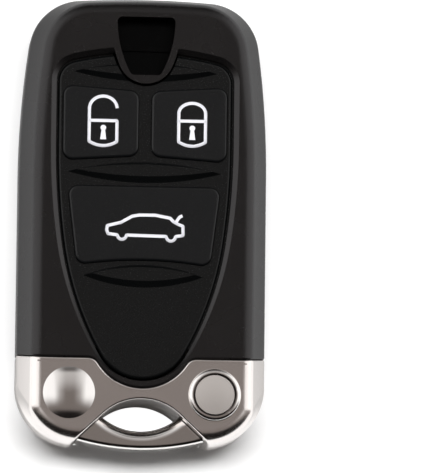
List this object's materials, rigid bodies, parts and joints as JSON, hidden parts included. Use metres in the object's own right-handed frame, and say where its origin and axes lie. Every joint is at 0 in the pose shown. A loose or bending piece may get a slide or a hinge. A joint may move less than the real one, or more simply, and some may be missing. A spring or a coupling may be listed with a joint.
{
  "type": "key fob shell",
  "caption": "Rounded car remote key fob with a recessed rubber keypad, a face pocket, and a chromed end with a release button and a keyring bar that carries a hidden slide-out key.",
  "frame": {"origin": "centre of the back face's plane: the bottom centre of the whole fob's box, with the fob lying on its back", "axes": "+X to the release button's side, +Y along the fob from the keyring end to the pocket end, +Z out of the keypad face"},
  "size_m": [0.0394, 0.072, 0.0155],
  "materials": {
    "moulded_shell": "black ABS with a fine moulded grain",
    "chromed_end": "satin chrome plating on moulded ABS",
    "polished_chrome": "polished chrome plating",
    "button_grey": "satin grey plating on moulded ABS",
    "keypad_silicone": "soft-touch black silicone with white printed pictograms",
    "inner_plastic": "plain moulded",
    "board_laminate": "green solder resist",
    "switch_case": "pressed steel cover",
    "cell_steel": "nickel-plated steel",
    "spring_steel": "plain spring steel",
    "blade_steel": "nickel-plated steel, fine brushed",
    "chip_resin": "moulded epoxy",
    "capacitor_ceramic": "fired ceramic",
    "wound_copper": "enamelled copper wire on ferrite"
  },
  "bodies": {
    "case": {"front_shell": "moulded_shell", "rear_shell": "moulded_shell", "end_cap": "chromed_end", "left_dome_stud": "polished_chrome", "stud_clip": "spring_steel", "button_bezel": "polished_chrome", "release_spring": "spring_steel", "release_leaf": "spring_steel", "keypad": "keypad_silicone", "keypad_frame": "inner_plastic", "circuit_board": "board_laminate", "unlock_switch": "switch_case", "lock_switch": "switch_case", "boot_switch": "switch_case", "coin_cell": "cell_steel", "cell_contact_positive": "spring_steel", "cell_contact_negative": "spring_steel", "microcontroller": "chip_resin", "rf_transmitter": "chip_resin", "crystal": "cell_steel", "chip_capacitors": "capacitor_ceramic", "antenna_coil_x": "wound_copper", "antenna_coil_y": "wound_copper", "antenna_coil_z": "wound_copper", "transponder": "chip_resin"},
    "unlock_button": {"unlock_key": "keypad_silicone", "unlock_plunger": "inner_plastic"},
    "lock_button": {"lock_key": "keypad_silicone", "lock_plunger": "inner_plastic"},
    "boot_button": {"boot_key": "keypad_silicone", "boot_plunger": "inner_plastic"},
    "release_catch": {"release_button": "button_grey", "button_retainer": "spring_steel"},
    "emergency_key": {"keyring_bar": "polished_chrome", "key_blade": "blade_steel", "blade_pin": "spring_steel"}
  },
  "joints": [
    {"name": "unlock_press", "type": "slide", "parent": "case", "child": "unlock_button", "axis": [0, 0, -1], "range_m": [0, 0.0004], "stiffness_N_per_m": 2500},
    {"name": "lock_press", "type": "slide", "parent": "case", "child": "lock_button", "axis": [0, 0, -1], "range_m": [0, 0.0004], "stiffness_N_per_m": 2500},
    {"name": "boot_press", "type": "slide", "parent": "case", "child": "boot_button", "axis": [0, 0, -1], "range_m": [0, 0.0004], "stiffness_N_per_m": 2500},
    {"name": "release_press", "type": "slide", "parent": "case", "child": "release_catch", "axis": [0, 0, -1], "range_m": [0, 0.0012], "stiffness_N_per_m": 800, "deforming": ["release_spring", "release_leaf"]},
    {"name": "emergency_key_slide", "type": "slide", "parent": "case", "child": "emergency_key", "axis": [0, -1, 0], "range_m": [0, 0.06]}
  ]
}
